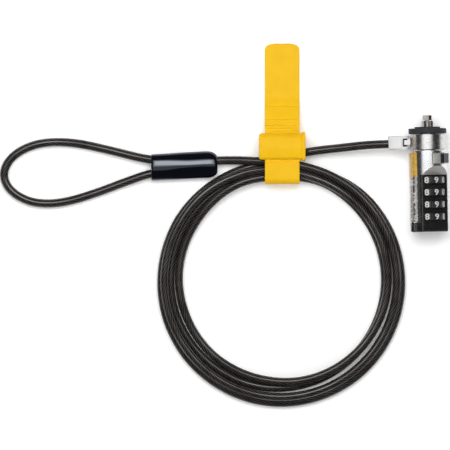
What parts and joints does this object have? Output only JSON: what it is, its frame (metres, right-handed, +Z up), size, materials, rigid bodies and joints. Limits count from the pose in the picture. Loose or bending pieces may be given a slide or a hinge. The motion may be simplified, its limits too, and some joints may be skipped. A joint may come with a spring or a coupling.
{
  "type": "laptop cable lock",
  "caption": "Cylindrical combination lock with number wheels, thumb lever and T-bar nub, on a coiled steel cable with an end loop and a rubber strap.",
  "frame": {"origin": "where the lock's axis meets the face of the rubber pad that rests on the computer", "axes": "+Y along the lock's axis, out through the T-bar nub; +Z up, away from the table that the lock, coil and strap lie on"},
  "size_m": [0.2692, 0.2178, 0.0227],
  "materials": {
    "nickel": "satin nickel plate",
    "steel": "hardened steel, satin",
    "jacket": "glossy clear smoke PVC over steel rope",
    "sleeve": "glossy black heat-shrunk PVC",
    "ferrule": "plain pressed aluminium",
    "strap": "matte moulded silicone rubber",
    "collar_chrome": "polished chrome plate",
    "shell_chrome": "polished chrome plate",
    "pad_rubber": "matte",
    "housing": "semi-gloss moulded",
    "brass": "machined",
    "spacer": "plain acetal",
    "spring_steel": "bright spring steel",
    "label_yellow": "laminated film",
    "label_silver": "brushed foil film",
    "grip": "semi-gloss moulded",
    "wheel": "semi-gloss moulded with white digits"
  },
  "bodies": {
    "cable": {"cable_fitting": "nickel", "fitting_pin": "steel", "cable_lead": "jacket", "cable_coil": "jacket", "cable_tail": "jacket", "cable_loop": "jacket", "loop_sleeve": "sleeve", "crimp_ferrule": "ferrule", "strap_band": "strap", "strap_buckle": "strap"},
    "collar": {"swivel_collar": "collar_chrome"},
    "barrel": {"barrel_shell": "shell_chrome", "swivel_neck": "steel", "nose_plate": "steel", "slot_pins": "steel", "rubber_pad": "pad_rubber", "dial_housing": "housing", "core_tube": "brass", "wheel_spacers": "spacer", "click_spring": "spring_steel", "label_upper": "label_yellow", "label_lower": "label_silver"},
    "lever": {"t_bar_spindle": "steel", "lever_drum": "steel", "lever_grip": "grip", "drum_pin": "steel", "detent_ball": "spring_steel", "detent_spring": "spring_steel"},
    "set_screw": {"code_set_screw": "brass"},
    "wheel_1": {"number_wheel_1": "wheel", "code_ring_1": "brass"},
    "wheel_2": {"number_wheel_2": "wheel", "code_ring_2": "brass"},
    "wheel_3": {"number_wheel_3": "wheel", "code_ring_3": "brass"},
    "wheel_4": {"number_wheel_4": "wheel", "code_ring_4": "brass"}
  },
  "joints": [
    {"name": "fitting_hinge", "type": "hinge", "parent": "cable", "child": "collar", "pos_m": [-0.0134, -0.00915, 0], "axis": [0, 1, 0], "range_deg": [-60, 60]},
    {"name": "collar_swivel", "type": "hinge", "parent": "collar", "child": "barrel", "pos_m": [0, -0.0091, 0], "axis": [0, 1, 0], "continuous": true},
    {"name": "lever_turn", "type": "hinge", "parent": "barrel", "child": "lever", "pos_m": [0, -0.019, 0], "axis": [0, 1, 0], "range_deg": [0, 90]},
    {"name": "wheel_1_spin", "type": "hinge", "parent": "barrel", "child": "wheel_1", "pos_m": [0, -0.0319, 0], "axis": [0, 1, 0], "continuous": true},
    {"name": "wheel_2_spin", "type": "hinge", "parent": "barrel", "child": "wheel_2", "pos_m": [0, -0.0392, 0], "axis": [0, 1, 0], "continuous": true},
    {"name": "wheel_3_spin", "type": "hinge", "parent": "barrel", "child": "wheel_3", "pos_m": [0, -0.0465, 0], "axis": [0, 1, 0], "continuous": true},
    {"name": "wheel_4_spin", "type": "hinge", "parent": "barrel", "child": "wheel_4", "pos_m": [0, -0.0538, 0], "axis": [0, 1, 0], "continuous": true},
    {"name": "code_set_turn", "type": "hinge", "parent": "barrel", "child": "set_screw", "pos_m": [0, -0.056, 0], "axis": [0, 1, 0], "range_deg": [0, 90]}
  ]
}
